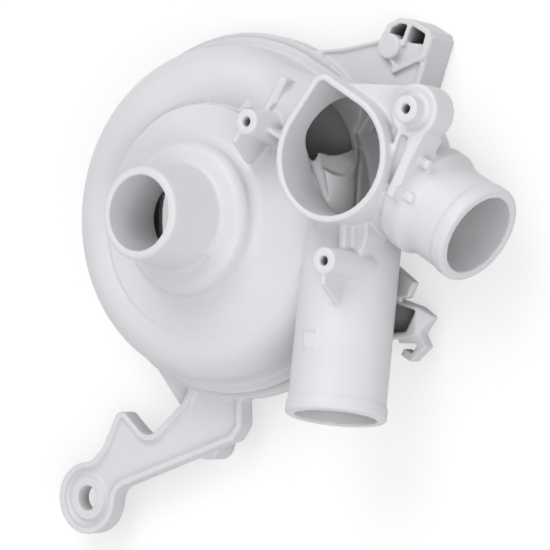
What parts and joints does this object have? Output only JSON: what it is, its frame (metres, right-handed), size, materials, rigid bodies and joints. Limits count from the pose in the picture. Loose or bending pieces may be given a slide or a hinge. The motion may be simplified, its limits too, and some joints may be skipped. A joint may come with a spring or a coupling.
{
  "type": "pump volute cover",
  "caption": "Moulded pump housing cover: spiral volute with a central inlet spigot, teardrop valve chamber, side and lower outlet spigots, rear mounting ring and a leg with an eyelet.",
  "frame": {"origin": "centre of the casing and its rear spigot, in the rear face's plane", "axes": "+Z out of the inlet's mouth, away from the motor; +Y away from the lower outlet's mouth; +X towards the valve chamber and the side outlet"},
  "size_m": [0.2266, 0.1986, 0.076],
  "materials": {
    "moulded_plastic": "fine satin, light grey-white"
  },
  "bodies": {
    "root": {"volute_cover": "moulded_plastic", "mounting_ring": "moulded_plastic", "side_outlet": "moulded_plastic"}
  },
  "joints": []
}
